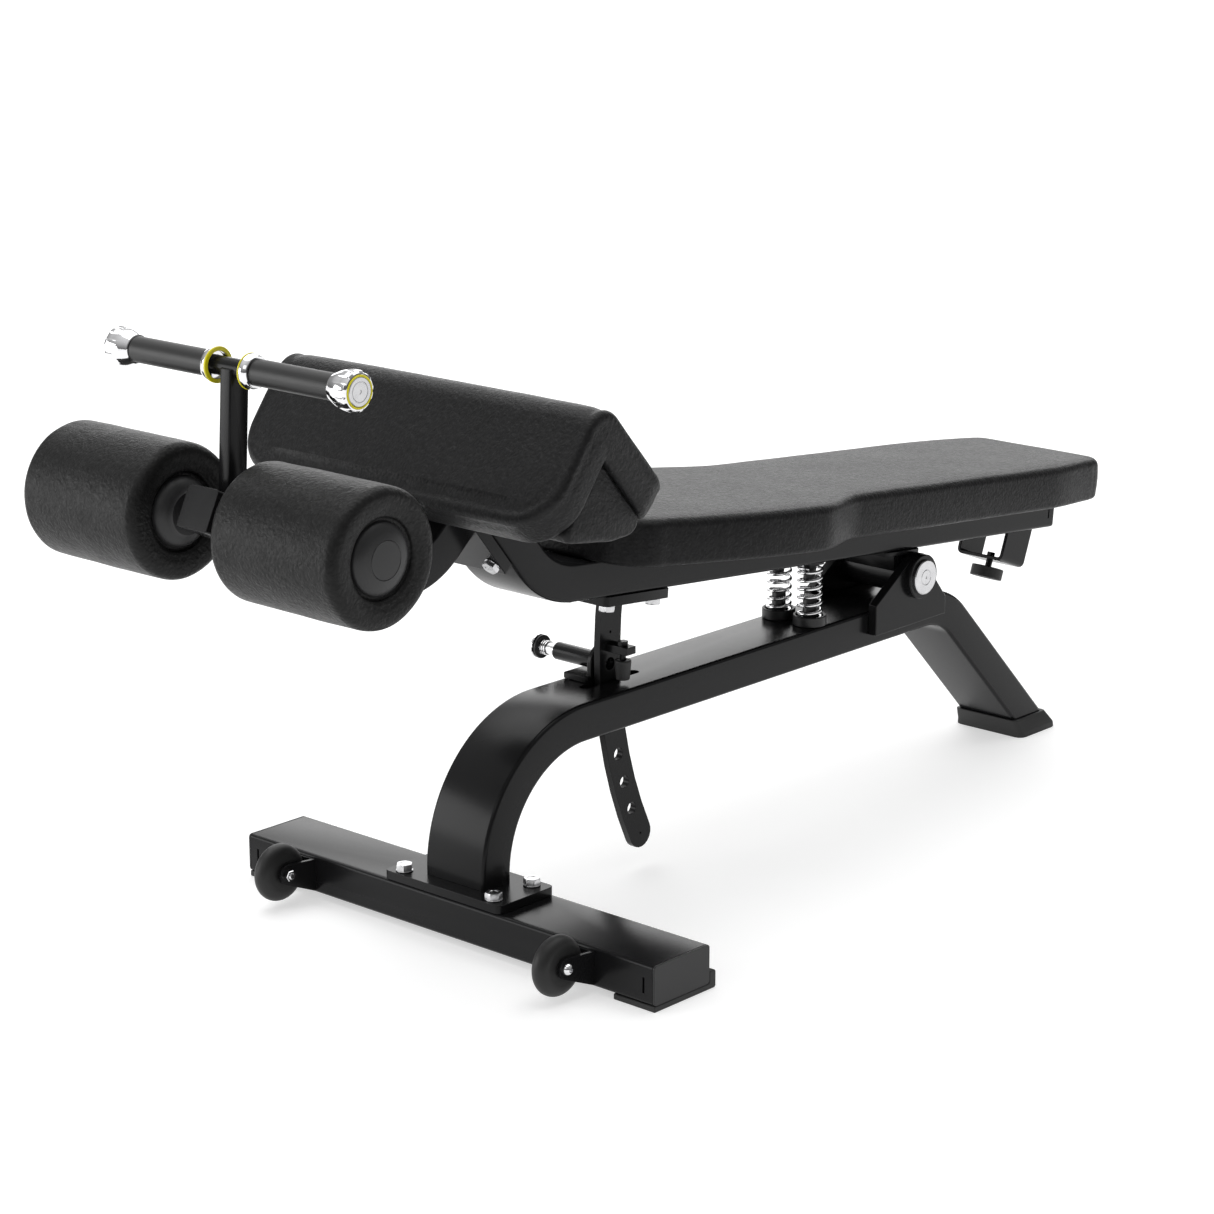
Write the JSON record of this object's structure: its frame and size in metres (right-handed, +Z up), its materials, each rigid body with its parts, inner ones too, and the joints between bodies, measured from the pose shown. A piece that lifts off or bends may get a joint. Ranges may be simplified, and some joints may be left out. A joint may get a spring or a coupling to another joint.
{
  "type": "decline sit-up bench",
  "caption": "Adjustable decline sit-up bench with a long padded seat, ridged knee pad, ankle rollers, hand grips and transport wheels on a tubular floor frame.",
  "frame": {"origin": "on the floor, under the middle of the bench's overall length and width", "axes": "+X along the bench from the ankle rollers towards the head end, +Y across it towards the pull pin's knob, +Z up"},
  "size_m": [1.6808, 0.7, 0.789],
  "materials": {
    "powder_coat": "satin",
    "rubber": "matte",
    "wheel_rubber": "satin",
    "plastic": "matte",
    "vinyl": "matte",
    "foam": "matte",
    "chrome": "polished",
    "zinc": "satin"
  },
  "bodies": {
    "floor_frame": {"front_crossfoot": "powder_coat", "foot_cap_left": "plastic", "foot_cap_right": "plastic", "foot_pad_left": "rubber", "foot_pad_right": "rubber", "base_plate": "powder_coat", "base_bolt_1": "zinc", "base_bolt_2": "zinc", "base_bolt_3": "zinc", "base_bolt_4": "zinc", "spine_tube": "powder_coat", "rear_leg": "powder_coat", "rear_boot": "rubber", "pivot_cheek_left": "powder_coat", "pivot_cheek_right": "powder_coat", "pivot_axle": "zinc", "pivot_cap_left": "zinc", "latch_bracket": "powder_coat", "spring_cup_left": "plastic", "spring_cup_right": "plastic", "spring_left": "chrome", "spring_right": "chrome", "wheel_bracket_left": "powder_coat", "wheel_bracket_right": "powder_coat", "wheel_bolt_left": "chrome", "wheel_bolt_right": "chrome"},
    "seat": {"seat_frame": "powder_coat", "selector": "powder_coat", "stop_bar": "powder_coat", "pivot_hub": "powder_coat", "end_bracket": "powder_coat", "end_screw": "powder_coat", "roller_arm": "powder_coat", "roller_axle": "powder_coat", "handle_post": "powder_coat", "stop_rubber": "rubber", "end_disc": "rubber", "grip_left": "rubber", "grip_right": "rubber", "spring_guide": "plastic", "seat_frame_cap": "plastic", "seat_pad": "vinyl", "knee_pad": "vinyl", "grip_collar_left": "chrome", "grip_collar_right": "chrome", "grip_cap_left": "chrome", "grip_cap_right": "chrome", "selector_bolt_1": "zinc", "selector_bolt_2": "zinc", "selector_bolt_3": "zinc", "selector_bolt_4": "zinc", "arm_bolt_left": "zinc", "arm_bolt_right": "zinc"},
    "pin": {"pull_pin": "chrome"},
    "wheel_left_body": {"wheel_left": "wheel_rubber"},
    "wheel_right_body": {"wheel_right": "wheel_rubber"},
    "roller_left_body": {"roller_left": "foam", "roller_hub_left": "plastic"},
    "roller_right_body": {"roller_right": "foam", "roller_hub_right": "plastic"}
  },
  "joints": [
    {"name": "seat_tilt", "type": "hinge", "parent": "floor_frame", "child": "seat", "pos_m": [0.457, 0, 0.3035], "axis": [0, 1, 0], "range_deg": [0, 20.9]},
    {"name": "pull_pin_slide", "type": "slide", "parent": "floor_frame", "child": "pin", "axis": [0, 1, 0], "range_m": [-0.014, 0.004]},
    {"name": "wheel_left_spin", "type": "hinge", "parent": "floor_frame", "child": "wheel_left_body", "pos_m": [-0.4778, 0.24, 0.0452], "axis": [0, 1, 0], "continuous": true},
    {"name": "wheel_right_spin", "type": "hinge", "parent": "floor_frame", "child": "wheel_right_body", "pos_m": [-0.4778, -0.24, 0.0452], "axis": [0, 1, 0], "continuous": true},
    {"name": "roller_left_spin", "type": "hinge", "parent": "seat", "child": "roller_left_body", "pos_m": [-0.7635, 0.16, 0.5953], "axis": [0, 1, 0], "continuous": true},
    {"name": "roller_right_spin", "type": "hinge", "parent": "seat", "child": "roller_right_body", "pos_m": [-0.7635, -0.16, 0.5953], "axis": [0, 1, 0], "continuous": true}
  ]
}
